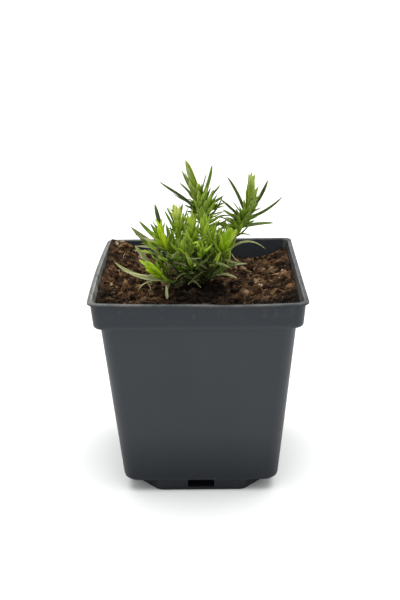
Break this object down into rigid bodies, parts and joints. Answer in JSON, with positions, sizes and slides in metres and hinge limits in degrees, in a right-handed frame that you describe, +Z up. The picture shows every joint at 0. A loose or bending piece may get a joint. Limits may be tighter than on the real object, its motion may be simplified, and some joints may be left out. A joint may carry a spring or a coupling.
{
  "type": "phlox plant",
  "caption": "Young creeping phlox with awl-shaped leaves on low branching stems, growing in potting mix in a square tapered nursery pot.",
  "frame": {"origin": "on the floor under the middle of the pot, at the height of the base's underside", "axes": "+Z up through the pot and plant; -Y towards the front of the pot; +X to the right as seen from the front"},
  "size_m": [0.09, 0.09, 0.143],
  "materials": {
    "pot": "satin",
    "potting_mix": "matte",
    "crown": "matte",
    "stem": "matte",
    "leaf_young": "satin",
    "leaf_mature": "satin",
    "leaf_old": "matte"
  },
  "bodies": {
    "root": {"crown": "crown", "leaf_centre_01": "leaf_mature", "leaf_centre_02": "leaf_mature", "leaf_centre_03": "leaf_mature", "leaf_centre_04": "leaf_mature", "leaf_centre_05": "leaf_young", "leaf_centre_06": "leaf_young", "leaf_front_right_01": "leaf_old", "leaf_front_right_02": "leaf_mature", "leaf_front_right_03": "leaf_young", "leaf_front_right_04": "leaf_mature", "leaf_front_right_05": "leaf_young", "leaf_left_01": "leaf_mature", "leaf_left_02": "leaf_old", "leaf_left_03": "leaf_mature", "leaf_left_04": "leaf_young", "leaf_left_05": "leaf_mature", "leaf_left_06": "leaf_mature", "leaf_low_front_01": "leaf_mature", "leaf_low_front_02": "leaf_mature", "leaf_low_left_01": "leaf_old", "leaf_low_left_02": "leaf_old", "leaf_low_left_03": "leaf_old", "leaf_low_left_04": "leaf_mature", "leaf_low_left_05": "leaf_young", "leaf_low_right_01": "leaf_old", "leaf_low_right_02": "leaf_mature", "leaf_main_01": "leaf_mature", "leaf_main_02": "leaf_mature", "leaf_main_03": "leaf_mature", "leaf_main_04": "leaf_mature", "leaf_main_05": "leaf_mature", "leaf_main_06": "leaf_mature", "leaf_main_07": "leaf_mature", "leaf_main_08": "leaf_mature", "leaf_main_09": "leaf_young", "leaf_main_10": "leaf_young", "leaf_main_11": "leaf_young", "leaf_right_01": "leaf_old", "leaf_right_02": "leaf_mature", "leaf_right_03": "leaf_old", "leaf_right_04": "leaf_mature", "leaf_right_05": "leaf_mature", "leaf_right_06": "leaf_mature", "leaf_right_07": "leaf_mature", "leaf_right_08": "leaf_mature", "leaf_right_09": "leaf_young", "leaf_right_10": "leaf_young", "leaf_right_11": "leaf_young", "pot": "pot", "potting_mix": "potting_mix", "stem_centre": "stem", "stem_front_right": "stem", "stem_left": "stem", "stem_low_front": "stem", "stem_low_left": "stem", "stem_low_right": "stem", "stem_main": "stem", "stem_right": "stem"}
  },
  "joints": []
}
